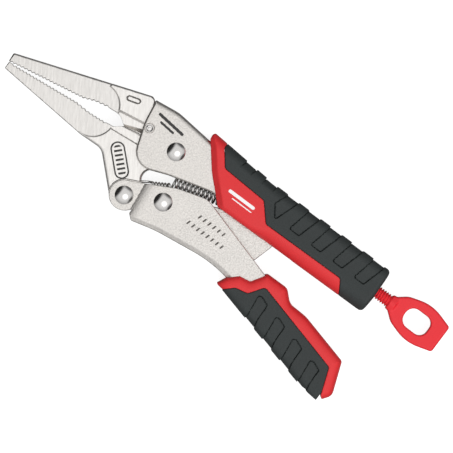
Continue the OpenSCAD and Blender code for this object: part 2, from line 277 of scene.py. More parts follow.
def lathe(profile, axis_at, steps=48):
    """Surface of revolution of (radius, height) points about an axis along Z."""
    turns = np.linspace(0, 2 * math.pi, steps, endpoint=False)
    r = np.array([p[0] for p in profile])[:, None]
    h = np.array([p[1] for p in profile])[:, None] + 0 * turns
    u, v = r * np.cos(turns), r * np.sin(turns)
    points = np.stack([u, v, h], -1).reshape(-1, 3) + np.array(axis_at)
    return points, ring_faces(len(profile), steps)


# ---- Materials ----
BRUSH_STRETCH = 6
BROAD_SIZE = 14
FINE_SHARE, BROAD_SHARE = 0.6, 0.4


def material(name, colour, rough, metallic, grain, mottle, brushed=None, specular=0.5):
    """A procedural finish. grain is (bump height in mm, roughness variation, size in mm);
    mottle is how far the colour strays; brushed stretches the grain along a direction in XY."""
    m = bpy.data.materials.new(name)
    m.use_nodes = True
    tree = m.node_tree
    nodes, link = tree.nodes, tree.links.new
    shader = nodes["Principled BSDF"]
    shader.inputs["Metallic"].default_value = metallic
    shader.inputs["Specular IOR Level"].default_value = specular
    where = nodes.new("ShaderNodeTexCoord")
    place = nodes.new("ShaderNodeMapping")
    link(where.outputs["Object"], place.inputs["Vector"])
    if brushed is not None:
        place.vector_type = "TEXTURE"
        place.inputs["Rotation"].default_value = (0, 0, math.radians(brushed))
        place.inputs["Scale"].default_value = (BRUSH_STRETCH, 1, 1)

    def noise(size, detail):
        n = nodes.new("ShaderNodeTexNoise")
        n.inputs["Scale"].default_value = 1 / (size * MM)
        n.inputs["Detail"].default_value = detail
        link(place.outputs["Vector"], n.inputs["Vector"])
        return n.outputs["Fac"]

    def spread(source, low, high):
        r = nodes.new("ShaderNodeMapRange")
        r.inputs["From Min"].default_value = 0.3
        r.inputs["From Max"].default_value = 0.7
        r.inputs["To Min"].default_value = low
        r.inputs["To Max"].default_value = high
        link(source, r.inputs["Value"])
        return r.outputs["Result"]

    fine = noise(grain[2], 4)
    broad = noise(BROAD_SIZE, 3)
    mix = nodes.new("ShaderNodeMix")
    mix.data_type = "RGBA"
    mix.inputs[6].default_value = tuple(c * (1 - mottle) for c in colour) + (1,)
    mix.inputs[7].default_value = tuple(min(1, c * (1 + mottle)) for c in colour) + (1,)
    both_noises = nodes.new("ShaderNodeMath")
    both_noises.operation = "MULTIPLY_ADD"
    link(fine, both_noises.inputs[0])
    both_noises.inputs[1].default_value = FINE_SHARE
    broad_part = nodes.new("ShaderNodeMath")
    broad_part.operation = "MULTIPLY"
    link(broad, broad_part.inputs[0])
    broad_part.inputs[1].default_value = BROAD_SHARE
    link(broad_part.outputs[0], both_noises.inputs[2])
    link(spread(both_noises.outputs[0], 0, 1), mix.inputs[0])
    link(mix.outputs[2], shader.inputs["Base Color"])
    link(spread(broad, rough - grain[1], rough + grain[1]), shader.inputs["Roughness"])
    bump = nodes.new("ShaderNodeBump")
    bump.inputs["Distance"].default_value = grain[0] * MM
    bump.inputs["Strength"].default_value = 1
    link(fine, bump.inputs["Height"])
    link(bump.outputs["Normal"], shader.inputs["Normal"])
    return m


NICKEL = material("satin_nickel", (0.76, 0.73, 0.695), 0.38, 1.0, (0.16, 0.06, 0.75), 0.2)
GROUND = material("forged_nickel", (0.84, 0.815, 0.785), 0.34, 1.0, (0.08, 0.05, 0.9), 0.1, brushed=122)
POLISHED = material("polished_steel", (0.86, 0.84, 0.82), 0.17, 1.0, (0.004, 0.03, 0.6), 0.03)
WIRE = material("spring_wire", (0.97, 0.96, 0.94), 0.36, 1.0, (0.006, 0.04, 0.3), 0.06)
HIDDEN_STEEL = material("plated_steel", (0.62, 0.6, 0.57), 0.4, 1.0, (0.01, 0.05, 0.5), 0.08)
RED = material("red_moulding", (0.66, 0.029, 0.033), 0.45, 0.0, (0.012, 0.05, 0.35), 0.05, specular=0.3)
BLACK = material("black_rubber", (0.03, 0.035, 0.035), 0.56, 0.0, (0.04, 0.08, 0.5), 0.25, specular=0.3)
COAT = material("red_powder_coat", (0.72, 0.025, 0.034), 0.42, 0.0, (0.03, 0.05, 0.7), 0.05, specular=0.3)
WHITE_INK = material("white_print", (0.86, 0.84, 0.84), 0.5, 0.0, (0.004, 0.03, 0.3), 0.03)
# Dark fill for the floors of stamped grooves: painted shade inside the grooves.
STAMP_SHADE = material("stamped_shade", (0.15, 0.14, 0.13), 0.6, 0.6, (0.01, 0.05, 0.4), 0.15)
# Dark print on the frame; the same colour fills the jaw badge's sunk lines as painted shade.
DARK_INK_AND_SHADE = material("dark_print_and_groove_shade", (0.03, 0.029, 0.028), 0.5, 0.0, (0.004, 0.03, 0.3), 0.1)


def finish_piece(piece, body, node, finish):
    piece.data.materials.clear()
    piece.data.materials.append(finish)
    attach(piece, body)
    if node:
        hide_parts(node)
    return piece


def shaped(name, shape, grid, body, node, finish):
    points, normals, quads = surface(shape, *grid)
    return finish_piece(mesh_object(name, points, normals, quads), body, node, finish)


# ---- Frame plates ----
PLATE_OUT, PLATE_IN = 6.9, 4.7
SHEET = 2.2
EDGE_CHAMFER = 0.7
frame_back = outline([(-60, 8.5), (-22.4, 13.5), (-9.6, 15.2, 20), (9, 13.4, 20), (150, 13.15), (150, -90),
                      (-60, -90)])
frame_rim = outline([(-24.3, 40), (-21.6, 13.4), (-19.9, 2.4, 30), (-13.2, -17.2, 8.6), (3, -10.8, 12),
                     (24, -5, 20), (110, -5, 3), (110, 40)])
STUD = (-16.3, 1.4)
stud_ring = circle(STUD, 2.05)


def frame_envelope(x, y, z):
    """The folded channel before it is hollowed."""
    return both(both(frame_back(x, y), np.abs(z) - PLATE_OUT, 2.3), frame_rim(x, y), 0.3)


def upper_frame(x, y, z):
    back, rim, side = frame_back(x, y), frame_rim(x, y), np.abs(z)
    solid = frame_envelope(x, y, z)
    solid = both(solid, (rim + EDGE_CHAMFER + side - PLATE_OUT) * DIAGONAL, 0.15)
    hollow = both(back + SHEET, side - PLATE_IN, 1.4)
    solid = without(solid, hollow, 0.3)
    countersink = both(np.abs(stud_ring(x, y)) - 0.22, PLATE_OUT - 0.3 - side, 0.1)
    solid = without(solid, countersink, 0.15)
    return without(solid, stud_ring(x, y) + 0.12, 0.1)


# ---- Jaws ----
UPPER_HALF, LOWER_HALF, BLADE_HALF = 4.65, 4.4, 1.4
NOSE_STEP_R = 10.6
UPPER_STEP, LOWER_STEP = (-42.2, -4.6), (-41.2, -8.8)
UPPER_CHAMFER, LOWER_CHAMFER, NOTCH_CHAMFER = 0.8, 0.4, 0.8
UPPER_GRIND, LOWER_GRIND, GRIND_SLOPE = 1.15, 0.6, 0.75
UPPER_THROAT_X, LOWER_THROAT_X = -31.3, -30.4
BLADE_BASE, BLADE_UP = (-26.6, -4.7), (-0.22, 0.975)
upper_bite = [(-86.2, -12.7), (-49.4, -6), (-43.6, -3.7), (-37.2, -2.3)]
upper_all = outline(
    [(-23.6, 14.15, 2.2), (-87.2, -8.3, 0.6), (-86.8, -12.5)] + toothed(upper_bite)
    + [(-37.2, -2.3), (-33, -1.9), (-30.6, -2.1), (-26.6, -4.7), (-18.2, -2.8)]
    + arc((0, 0), 7.4, 194, 60) + [(3.8, 10.8), (-9.6, 12.3), (-21.3, 10.9), (-21.8, 12.9)])
upper_outer = outline([(-23.6, 14.15, 2.2), (-87.2, -8.3, 1), (-86.6, -40), (20, -40), (20, 11.1),
                       (-20.5, 11.1), (-21.6, 13.1)])
lower_bite = [(-34, -8.4), (-43.4, -9.2), (-50.4, -8.9), (-84.6, -12.6)]
JAW_PIVOT = (-7.3, -30.1)
LINK_PIVOT = (9, -22)
NOTCH, NOTCH_R = (-1.5, -17.1), 4.7
lower_all = outline(
    [(-32.6, -8.2)] + toothed(lower_bite)
    + [(-84.6, -12.6), (-86.6, -12.9, 0.2), (-86.4, -16.4, 0.6), (-60, -18.4, 40), (-40, -19.9, 20),
       (-28.6, -19.4, 6), (-16.4, -31, 14)]
    + arc(JAW_PIVOT, 7, 225, 360, 14) + [(-1.4, -24)] + arc(NOTCH, NOTCH_R, 240, 118)
    + [(-2.6, -12.2)] + arc((0, 0), 6.8, -25, 208, 16) + [(-18.2, -4.1), (-27.2, -5.5), (-30, -7.8)])
lower_outer = outline([(-87, 30), (-86.4, -16.4, 0.6), (-60, -18.4, 40), (-40, -19.9, 20), (-28.6, -19.4, 6),
                       (-16.4, -31, 14)] + arc(JAW_PIVOT, 7, 225, 300, 8) + [(40, -34), (40, 30)])
upper_grind = outline([(-33, 0.05), (-20, 2.2), (-10, 3.8), (-10, -9), (-33, -9)])
lower_grind = outline([(-33, -7), (-30.6, -9.7), (-16, -8.2), (-8, -7.4), (-8, 0), (-33, 0)])
upper_slot = oval((-32, 6.9), (-28, 8.1), 1.05)
MARK_CUT = 0.4


def slot_lines(x, y):
    return np.abs(upper_slot(x, y)) - 0.22


upper_edge = outline([(-26.9, -5.05), (-17.5, -3.33), (-17.5, -1.5), (-26, -3.8)])
lower_edge = outline([(-27.0, -5.15), (-17.5, -3.42), (-17.5, -5.5), (-27.4, -7)])
spring_notch = circle(NOTCH, NOTCH_R)
BADGE_START, BADGE_END = (-22.4, -14.9), (-14.7, -22.2)
BADGE_WAY = (0.725, -0.688)
badge_oval = oval(BADGE_START, BADGE_END, 3.05)


def badge_lines(x, y):
    """A border and short bars across the badge."""
    ring = badge_oval(x, y)
    along = (x - BADGE_START[0]) * BADGE_WAY[0] + (y - BADGE_START[1]) * BADGE_WAY[1]
    bars = np.maximum(np.abs((along + 0.2) % 2.1 - 1.05) - 0.4, ring + 1.25)
    return np.minimum(np.abs(ring) - 0.27, bars)


ear_round = circle(JAW_PIVOT, 7.5)
ear_web = outline([(-11.8, -23.9), (-2.6, -19.4), (8, -19.4), (8, -45), (-7.3, -45), (-7.3, -30)])
EAR_SEAT_HALF = 3.2


def nose_half(x):
    """Half thickness of a nose, which tapers to its tip."""
    return 4 + np.minimum(x + 31, 0) * 2 / 56


def nose_area(x, y, centre):
    """The nose in the XY plane, up to its round step."""
    return either(circle(centre, NOSE_STEP_R)(x, y), x - centre[0])


def nose_cut(x, y, side, centre):
    """What is ground off the sides of a nose."""
    return both(nose_area(x, y, centre), nose_half(x) - side, 0.5)


def outer_chamfer(x, y, side, outer, centre, half, width):
    """Bevels the long outer edges, on the shank and on the thinner nose."""
    face = np.where(nose_area(x, y, centre) < 0, nose_half(x), half)
    return (outer + width + side - face) * DIAGONAL


def throat_bevel(x, side, everything, at, half):
    """Bevels the edges where the bite ends, round x = at."""
    width = np.clip(1.1 - np.abs(x - at), 0, 0.9)
    return (everything + width + side - half) * DIAGONAL


def mark_cut(lines, side, half):
    """A mark sunk into a face."""
    return both(lines, half - MARK_CUT - side, 0.08)


def upper_jaw(x, y, z):
    side = np.abs(z)
    everything, outer = upper_all(x, y), upper_outer(x, y)
    solid = np.maximum(both(outer, side - UPPER_HALF, 0.9), both(everything, side - UPPER_HALF, 0.25))
    solid = without(solid, nose_cut(x, y, side, UPPER_STEP), 0.45)
    forward = x - BLADE_BASE[0]
    above = (y - BLADE_BASE[1]) * BLADE_UP[1] + forward * BLADE_UP[0]
    hone = np.clip(np.clip(0.7 + 0.17 * forward, 0, 2.3) - above, 0, 3)
    ground = side - UPPER_HALF + np.clip(-upper_grind(x, y), 0, UPPER_GRIND) + hone
    solid = both(solid, ground * GRIND_SLOPE, 0.1)
    solid = np.maximum(solid, outer_chamfer(x, y, side, outer, UPPER_STEP, UPPER_HALF, UPPER_CHAMFER))
    solid = without(solid, mark_cut(slot_lines(x, y), side, UPPER_HALF), 0.12)
    solid = np.maximum(solid, throat_bevel(x, side, everything, UPPER_THROAT_X, UPPER_HALF))
    return np.minimum(solid, both(upper_edge(x, y), side - BLADE_HALF, 0.3))


def lower_jaw(x, y, z):
    side = np.abs(z)
    everything, outer = lower_all(x, y), lower_outer(x, y)
    solid = np.maximum(both(outer, side - LOWER_HALF, 1.5), both(everything, side - LOWER_HALF, 0.3))
    solid = without(solid, nose_cut(x, y, side, LOWER_STEP), 0.4)
    seat = either(ear_round(x, y), ear_web(x, y))
    solid = without(solid, both(seat, EAR_SEAT_HALF - side, 0.2), 0.2)
    ground = side - LOWER_HALF + np.clip(-lower_grind(x, y), 0, LOWER_GRIND)
    solid = both(solid, ground * GRIND_SLOPE, 0.1)
    solid = np.maximum(solid, throat_bevel(x, side, everything, LOWER_THROAT_X, LOWER_HALF))
    solid = np.maximum(solid, outer_chamfer(x, y, side, outer, LOWER_STEP, LOWER_HALF, LOWER_CHAMFER))
    solid = np.minimum(solid, both(lower_edge(x, y), side - BLADE_HALF, 0.3))
    solid = np.maximum(solid, (NOTCH_CHAMFER - spring_notch(x, y) + side - LOWER_HALF) * DIAGONAL)
    return without(solid, mark_cut(badge_lines(x, y), side, LOWER_HALF), 0.12)


# ---- Lever ----
lever_low = [(62, -34.2, 30), (44, -30.6, 60), (14, -34.6, 60)]
lever_all = outline([(-3.1, -20.3), (10.2, -13.1, 8), (24.6, -8.6, 9), (66, -20.6, 10), (115, -36),
                     (112.5, -47.6)] + lever_low + [(2, -37.7, 1.5), (-0.5, -35.3), (-0.5, -33)])
lever_bend = outline([(150, 60), (150, -56.5)] + lever_low + [(-40, -48.5), (-40, 60)])
lever_ear = outline(arc(JAW_PIVOT, 7.1, 126, 324, 16) + [(0, -33), (0, -19), (-3.1, -20.3)])
EAR_OUT, EAR_IN = 5.6, 3.4
JOGGLE_TURN = math.radians(7)
JOGGLE_START, JOGGLE_RUN, JOGGLE_RISE = -5.3, 6.2, 1.3
FACET_START, FACET_SLOPE, FACET_SCALE = 2.2, 0.5, 0.894


def stamp_lines(x, y):
    """Two rows of short slanted bars, in place of stamped lettering."""
    lines = None
    for row, start, end in ((-17.3, 25.2, 41.4), (-22.4, 22.5, 44.1)):
        along = x - start - 0.25 * (y - row)
        bar = both(np.abs(along % 2.7 - 1.35) - 0.3, np.abs(y - row) - 0.9, 0.15)
        bar = np.maximum(bar, np.maximum(-along, along - (end - start)))
        lines = bar if lines is None else np.minimum(lines, bar)
    return lines


def lever_channel(x, y, z):
    side = np.abs(z)
    run = x * math.cos(JOGGLE_TURN) + y * math.sin(JOGGLE_TURN) - JOGGLE_START
    rise = JOGGLE_RISE * (1 - (1 - np.clip(run / JOGGLE_RUN, 0, 1)) ** 3)
    out, hollow = side - EAR_OUT - rise, side - EAR_IN - rise
    bend = lever_bend(x, y)
    body = np.maximum(both(bend, out, 1.8), both(lever_all(x, y), out, 0.4))
    body = both(body, (out + FACET_SLOPE * (bend + FACET_START)) * FACET_SCALE, 0.2)
    solid = np.minimum(body, both(lever_ear(x, y), out, 0.4))
    web = either(bend + SHEET, x + 0.4)
    solid = without(solid, both(web, hollow, 1.6), 0.3)
    return without(solid, mark_cut(stamp_lines(x, y), side, PLATE_OUT), 0.12)


# ---- Link ----
link_all = outline(arc(LINK_PIVOT, 6, 250, 100) + [(21, -13.4, 8), (30.5, -8.9, 6), (45, -4.3, 10)]
                   + arc((61.2, 3.9), 3, 120, -10) + [(60.8, -10, 12), (57.8, -20.4, 1)])
link_room = outline([(-5, -32), (-5, -12), (40, -2), (56, 1), (56, -15), (30, -21), (22, -22.5), (14, -32)])
LINK_OUT, LINK_IN = 4.3, 2.7


def toggle_link(x, y, z):
    side = np.abs(z)
    solid = both(link_all(x, y), side - LINK_OUT, 0.5)
    return without(solid, both(link_room(x, y), side - LINK_IN, 0.8), 0.25)


# ---- Grips ----
GRIP_HALF = 10.3
GRIP_CROWN = 0.25
BEVEL_IN, BEVEL_DOWN = 2.7, 2.6
SEAM_ROUND, SEAM_EDGE = 0.35, 0.55
SEAM_RED, SEAM_BLACK = 0.02, 0.05
POCKET_EDGE, GROOVE_HALF, GROOVE_DEPTH = 0.25, 0.16, 0.35
ROOM_HALF = 4.8
SCREW_Y = 3.9
BORE_R, BORE_START = 4.2, 100
upper_back = outline([(-60, 22.6), (44, 15.3, 40), (170, 15.3), (170, -90), (-60, -90)])
upper_under = outline([(-60, -9.83), (170, -7.02), (170, 90), (-60, 90)])
upper_front = outline([(31, 60), (8.6, 16.3, 0.4), (8.9, 14.2, 1), (18.2, 2.8, 25), (31, -9.6), (80, -57),
                       (250, -57), (250, 60)])
upper_rear = outline([(-60, 70), (110.4, 70), (111.7, 13.9), (112.25, 1.1, 30), (111.7, -12), (110, -70),
                      (-60, -70)])
upper_cover = outline([(15.6, 50), (16.6, 14.7, 2), (22.4, 7.3, 2), (45.4, 6.2, 2), (52.6, -1.9, 2),
                       (94.6, -1.3, 2), (106, -19), (140, -19), (140, 50)])
upper_room = outline([(-20, -30), (72, -30), (72, -3.2), (97, -3.2), (97, 11), (-20, 11)])
upper_pockets = [outline(p) for p in (
    [[(36, 40), (27.6, 12.5, 0.6), (27.2, 9), (32.8, 9), (33.6, 12.1, 0.6), (41, 40)],
     [(45, 40), (39.9, 11.4, 0.6), (39.4, 8), (45.2, 8), (46, 11.5, 0.6), (50.6, 40)],
     [(62.9, 40), (50.2, 8.3, 0.6), (54.6, 2, 0.8), (67.5, 40)]]
    + [[(70.7 + 12.3 * i, 40), (62.3 + 12.3 * i, 3, 0.8), (67.9 + 12.3 * i, 2.8, 0.8), (78.3 + 12.3 * i, 40)]
       for i in range(4)])]


def upper_crown(y):
    """How far the upper grip's slightly crowned sides fall off."""
    return GRIP_CROWN * ((y - 3.5) / 11) ** 2


def upper_grip(x, y, z):
    side = np.abs(z) - GRIP_HALF + upper_crown(y)
    below = 2.6 + 3.4 * ramp((x - 46) / 12)
    body = both(both(upper_back(x, y), side, 5), upper_under(x, y), below)
    front = upper_front(x, y)
    bevel = ((front + BEVEL_IN) / BEVEL_IN + side / BEVEL_DOWN) / math.hypot(1 / BEVEL_IN, 1 / BEVEL_DOWN)
    body = both(both(body, front, 0.35), bevel, 0.35)
    return both(body, upper_rear(x, y), 2)


def pocketed(body, pocket, depth, fade=1.0):
    """A recess with a fine groove along its edge."""
    cut = both(pocket, -(body + depth * fade), 0.1)
    line = both(np.abs(pocket) - GROOVE_HALF, -(body + (depth + GROOVE_DEPTH) * fade), 0.05)
    return without(without(body, cut, POCKET_EDGE * fade), line, 0.15)


def upper_fitted(body, x, y, z):
    """The upper grip's shape with room for the frame, and for the link that swings out of it."""
    body = without(body, frame_envelope(x, y, z), 0.2)
    return without(body, both(upper_room(x, y), np.abs(z) - ROOM_HALF, 0.5), 0.3)


def lower_fitted(body, x, y, z):
    """The lower grip's shape with room for the lever's tail."""
    return without(body, both(lever_all(x, y), np.abs(z) - PLATE_OUT, 0.4), 0.2)


def upper_red(x, y, z):
    body = without(upper_grip(x, y, z), upper_cover(x, y) - SEAM_RED, SEAM_ROUND)
    return upper_fitted(body, x, y, z)


def upper_black(x, y, z):
    fade = np.maximum(ramp((y - 11.6) / 3), ramp((x - 48) / 1.5))
    body = pocketed(upper_grip(x, y, z), nearest_of(upper_pockets, x, y), 0.6, fade)
    body = both(body, upper_cover(x, y) + SEAM_BLACK, SEAM_EDGE)
    bore = both(np.hypot(y - SCREW_Y, z) - BORE_R, BORE_START - x, 0.1)
    return without(upper_fitted(body, x, y, z), bore, 0.5)


lower_rim = outline([(51.2, -35.9, 0.6), (52.9, -32.0, 1.2), (57.2, -27.7, 1.5), (62.5, -26.8, 1.5),
                     (66.8, -19.5, 2), (78.2, -19.4, 3.5), (83.5, -24.4, 6), (93, -24.7, 20),
                     (118.3, -31.1, 1.8), (124.2, -46.6, 4), (120.6, -51.6, 1.2), (118, -60), (100, -90),
                     (40, -90), (48, -38)])
SLOPE = math.radians(-13.9)
lower_under = outline([(-20, -24.25 - 20 * math.tan(SLOPE)), (200, -24.85 + 200 * math.tan(SLOPE)),
                       (200, 120), (-20, 120)])
lower_tail = outline([(30, -57.5), (112.0, -51.9), (119.7, -52.6), (140, -52.6), (140, 60), (30, 60)])
lower_cover = outline([(30, -38), (54.6, -37.6), (59, -33.4, 2), (65, -32.2, 3), (69.8, -25.1, 2),
                       (115, -36.8, 1.5), (120.0, -50.4), (124, -72), (30, -72)])
LOWER_POCKET = [(70.0, -75), (70.9, -41), (69.7, -30.1, 0.5), (71.1, -29.5, 0.5), (75.4, -31.2, 0.8),
                (75.8, -39.3), (78.6, -50), (80, -75)]
lower_pockets = [outline([(px + 12.2 * i, py - 3.2 * i, *r) for px, py, *r in LOWER_POCKET])
                 for i in range(4)]
tail_notch = outline([(119.1, -49.0), (119.3, -54), (122.4, -51.6)])


def lower_grip(x, y, z):
    u = (y + 23.9 - x * math.tan(SLOPE)) / 12
    side = np.abs(z) - GRIP_HALF + GRIP_CROWN * u**2
    rim = both(lower_rim(x, y), side, 4.6)
    under = both(lower_under(x, y), side, 4.6)
    body = both(both(rim, under, 1.4), lower_tail(x, y), 0.6)
    return without(body, tail_notch(x, y), 0.2)


def lower_red(x, y, z):
    body = without(lower_grip(x, y, z), lower_cover(x, y) - SEAM_RED, SEAM_ROUND)
    return lower_fitted(body, x, y, z)


def lower_black(x, y, z):
    body = pocketed(lower_grip(x, y, z), nearest_of(lower_pockets, x, y), 0.55)
    return lower_fitted(both(body, lower_cover(x, y) + SEAM_BLACK, SEAM_EDGE), x, y, z)


# ---- Ring ----
RING_HALF = 2.4
ring_edge = [(119.6, 3.4, 0.4), (121.2, 3.8, 1), (125.4, 7.2, 8), (136.3, 10.7, 20), (148.8, 7, 1.5)]
ring_all = outline(ring_edge + [(p[0], -p[1], p[2]) for p in reversed(ring_edge)])
ring_eye = outline([(128.5, -4.9, 4.4), (128.5, 4.9, 4.4), (141.5, 4.9, 3.9), (141.5, -4.9, 3.9)])


def screw_ring(x, y, z):
    h = y - SCREW_Y
    flat = both(ring_all(x, h), np.abs(z) - RING_HALF, 1.1)
    collar = both(np.hypot(h, z) - 3.4, np.abs(x - 121.2) - 1.6, 0.5)
    return without(either(flat, collar, 0.8), ring_eye(x, h), 0.8)


# ---- Meshed pieces ----
FINE, JAW_STEP, GRIP_STEP = 0.3, 0.27, 0.38
plates_z = across((0, 2.4, 0.8), (2.4, 7.4, 0.31))
shaped("frame_plates", upper_frame,
       (stops((-23.6, 24, FINE), (24, 111.2, 1.0)), stops((-19, 17, FINE)), plates_z),
       "frame", "upper_frame", NICKEL)
jaws_z = across((0, 1.5, 0.75), (1.5, 5.2, 0.29))
shaped("fixed_jaw", upper_jaw,
       (stops((-88.6, -14, JAW_STEP), (-14, 6, 0.7)), stops((-14.2, 15.2, JAW_STEP)), jaws_z),
       "frame", "upper_jaw", GROUND)
shaped("moving_jaw", lower_jaw,
       (stops((-88, 8, JAW_STEP)), stops((-38.6, 8, JAW_STEP)), jaws_z),
       "jaw", "lower_jaw", GROUND)
shaped("lever_body", lever_channel,
       (stops((-15.4, 60, FINE), (60, 117, 1.0)), stops((-50, -7, FINE)), plates_z),
       "lever", "lever_channel", NICKEL)
shaped("link_body", toggle_link,
       (stops((2, 66, 0.4)), stops((-30, 8.4, 0.4)), across((0, 2, 0.7), (2, 5, 0.35))),
       "link", "toggle_link", NICKEL)
grip_z = across((0, 4.4, 0.9), (4.4, 11, 0.42))
upper_grid = (stops((7.4, 113.4, GRIP_STEP)), stops((-10.6, 19.6, GRIP_STEP)), grip_z)
shaped("upper_grip_red", upper_red, upper_grid, "frame", "upper_grip_shell", RED)
shaped("upper_grip_black", upper_black, upper_grid, "frame", "upper_grip_cover", BLACK)
lower_grid = (stops((49.8, 125.8, GRIP_STEP)), stops((-54.4, -18, GRIP_STEP)), grip_z)
shaped("lower_grip_red", lower_red, lower_grid, "lever", "lower_grip_shell", RED)
shaped("lower_grip_black", lower_black, lower_grid, "lever", "lower_grip_cover", BLACK)
shaped("pull_ring", screw_ring, (stops((118.6, 149.8, 0.35)), stops((-8, 16, 0.35)), across((0, 4, 0.36))),
       "screw", "screw_ring", COAT)

# ---- Screw ----
PITCH = 1.27
THREAD_R, ROOT_R = 3.12, 2.42
FLAT_HALF, FLANK = 0.1, 0.28
SCREW_START, THREAD_START, SCREW_END = 71, 92, 120.2
SCREW_STEPS = 40


def screw_mesh():
    """A helical thread with a plain front end, as rings of points along the axis."""
    along = np.arange(THREAD_START, SCREW_END, PITCH / 8)
    theta = np.linspace(0, 2 * math.pi, SCREW_STEPS, endpoint=False)

    def ring(x, r):
        return np.stack([np.broadcast_to(x, r.shape), SCREW_Y + r * np.cos(theta), r * np.sin(theta)], -1)

    phase = (along[:, None] / PITCH - theta[None, :] / (2 * math.pi)) % 1
    crest = np.clip((np.abs(phase - 0.5) - FLAT_HALF) / FLANK, 0, 1)
    thread = ring(along[:, None], ROOT_R + (THREAD_R - ROOT_R) * crest)
    plain = [(SCREW_START, 0), (SCREW_START, 2.8), (SCREW_START + 0.3, THREAD_R),
             (THREAD_START - 0.1, THREAD_R)]
    front = np.stack([ring(x, r + 0 * theta) for x, r in plain])
    rings = np.concatenate([front, thread, ring(SCREW_END, 0 * theta)[None]])
    return rings.reshape(-1, 3), ring_faces(len(rings), SCREW_STEPS)


screw_points, screw_faces = screw_mesh()
finish_piece(mesh_object("screw_thread", screw_points, None, screw_faces),
             "screw", "adjusting_screw", COAT)


# ---- Rivets, stud, pin and screw nose ----
def half_profile(points):
    """Mirrors (radius, height) points about the middle plane, from the lower end to the upper."""
    return [(r, -h) for r, h in reversed(points)] + points


def rivet_profile(grip, shank, head=4.35, rise=1.9):
    """One end of a rivet: shank, narrow rim and domed head, above the sheet's face at grip."""
    dome, top = head - 0.22, rise - 0.3
    ball = (dome**2 + top**2) / (2 * top)
    edge = math.asin(dome / ball)
    cap = [(ball * math.sin(edge * (1 - k / 16)), grip + rise - ball + ball * math.cos(edge * (1 - k / 16)))
           for k in range(17)]
    return [(shank, 0.5), (shank, grip - 0.1), (head - 0.1, grip - 0.05), (head, grip + 0.05),
            (head, grip + 0.12), (head - 0.1, grip + 0.2)] + cap


def lathed(name, profile, at, body, node):
    points, faces = lathe(half_profile(profile), (*at, 0))
    finish_piece(mesh_object(name, points, None, faces), body, node, POLISHED)


stud_end = [(2.0, -0.1), (1.95, 0.05), (1.8, 0.1), (1.6, 0), (1.1, -0.6), (0.85, -0.75), (0.6, -0.65),
            (0.3, -0.5), (0, -0.45)]
stud_profile = [(2.0, 0.5)] + [(r, PLATE_OUT + h) for r, h in stud_end]
lathed("main_rivet", rivet_profile(PLATE_OUT, 3.5), (0, 0), "frame", "main_pivot_rivet")
lathed("jaw_pivot_rivet", rivet_profile(EAR_OUT, 3.2), JAW_PIVOT, "lever", "jaw_rivet")
lathed("link_pivot_rivet", rivet_profile(PLATE_OUT, 3.2), LINK_PIVOT, "lever", "link_rivet")
lathed("peened_stud", stud_profile, STUD, "frame", "jaw_stud")
for node in ("screw_nut", "spring_pin", "screw_tip"):
    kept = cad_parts[node]
    kept.data.materials.clear()
    kept.data.materials.append(HIDDEN_STEEL)

# ---- Spring ----
WIRE_R, COIL_R = 0.6, 2.8
COIL_START, COIL_END = (8.2, -11.6), (34, -3.5)
HOOK = np.array([-6.6, -21.6, 0.0])
PIN, PIN_LOOP_R = (43, -0.8), 2.25
STEPS_A_TURN = 16


def spring_path():
    """Centre line of the wire: front hook, small coils, main coils, rear loop round the pin."""
    points = [tuple(HOOK + np.array(p)) for p in ((0, 0, -2.6), (0.1, 0, -0.4), (1.4, 0.9, 0.6))]
    points.append((-2.6, -18.9, 1.0))
    axis = unit(np.array([COIL_END[0] - COIL_START[0], COIL_END[1] - COIL_START[1]]))
    across_axis = np.array([-axis[1], axis[0]])
    marks = [(0.0, -18.7, 1.15, 0), (6.2, -15.2, 1.3, 5), (*COIL_START, COIL_R, 6.0),
             (*COIL_END, COIL_R, 19.5)]
    for (x0, y0, r0, t0), (x1, y1, r1, t1) in zip(marks[:-1], marks[1:]):
        n = int((t1 - t0) * STEPS_A_TURN)
        for k in range(n):
            s = k / n
            turn = 2 * math.pi * (t0 + (t1 - t0) * s)
            r = r0 + (r1 - r0) * s
            c = np.array([x0 + (x1 - x0) * s, y0 + (y1 - y0) * s]) + across_axis * r * math.cos(turn)
            points.append((c[0], c[1], r * math.sin(turn)))
    points.append((36.5, -2.4, 0.6))
    loop = np.radians(np.arange(200, -130, -30))
    points += [(PIN[0] + PIN_LOOP_R * math.cos(a), PIN[1] + PIN_LOOP_R * math.sin(a), 0.0) for a in loop]
    return np.array(points)


def tube(centres, radius, steps=10):
    """A round tube along a line of points, closed at both ends."""
    tangent = np.gradient(centres, axis=0)
    tangent /= np.linalg.norm(tangent, axis=1)[:, None]
    normal = np.cross(tangent[0], (0.0, 0.0, 1.0))
    normal /= np.linalg.norm(normal)
    rings = []
    angles = np.linspace(0, 2 * math.pi, steps, endpoint=False)
    for c, t in zip(centres, tangent):
        normal = normal - t * (normal @ t)
        normal /= np.linalg.norm(normal)
        side = np.cross(t, normal)
        rings.append(c + radius * (np.cos(angles)[:, None] * normal + np.sin(angles)[:, None] * side))
    rings = [centres[0] + 0 * rings[0]] + rings + [centres[-1] + 0 * rings[0]]
    return np.concatenate(rings), ring_faces(len(rings), steps)


def world_point(x, y, z=0.0):
    return tuple(np.array([x, y, z]) * MM + PIVOT)


coil_points, coil_faces = tube(spring_path(), WIRE_R)
spring = mesh_object("spring_coils", coil_points, None, coil_faces)
spring.data.materials.append(WIRE)
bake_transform(spring)
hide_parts("tension_spring")


# ---- Printed marks, and painted shade on the floors of stamped grooves: plain generic shapes ----
FILM_HALF, SHADE_LIFT = 0.06, 0.05


def colour_film(name, shapes, height, body, finish, grid):
    """A thin layer of colour on both sides, for print and for painted shade on the floors of stamped
    grooves. height is how far its middle is from z = 0, or a function of y.
    """
    def film(x, y, z):
        level = height(y) if callable(height) else height
        return both(nearest_of(shapes, x, y), np.abs(np.abs(z) - level) - FILM_HALF, 0.05)

    shaped(name, film, grid, body, None, finish)


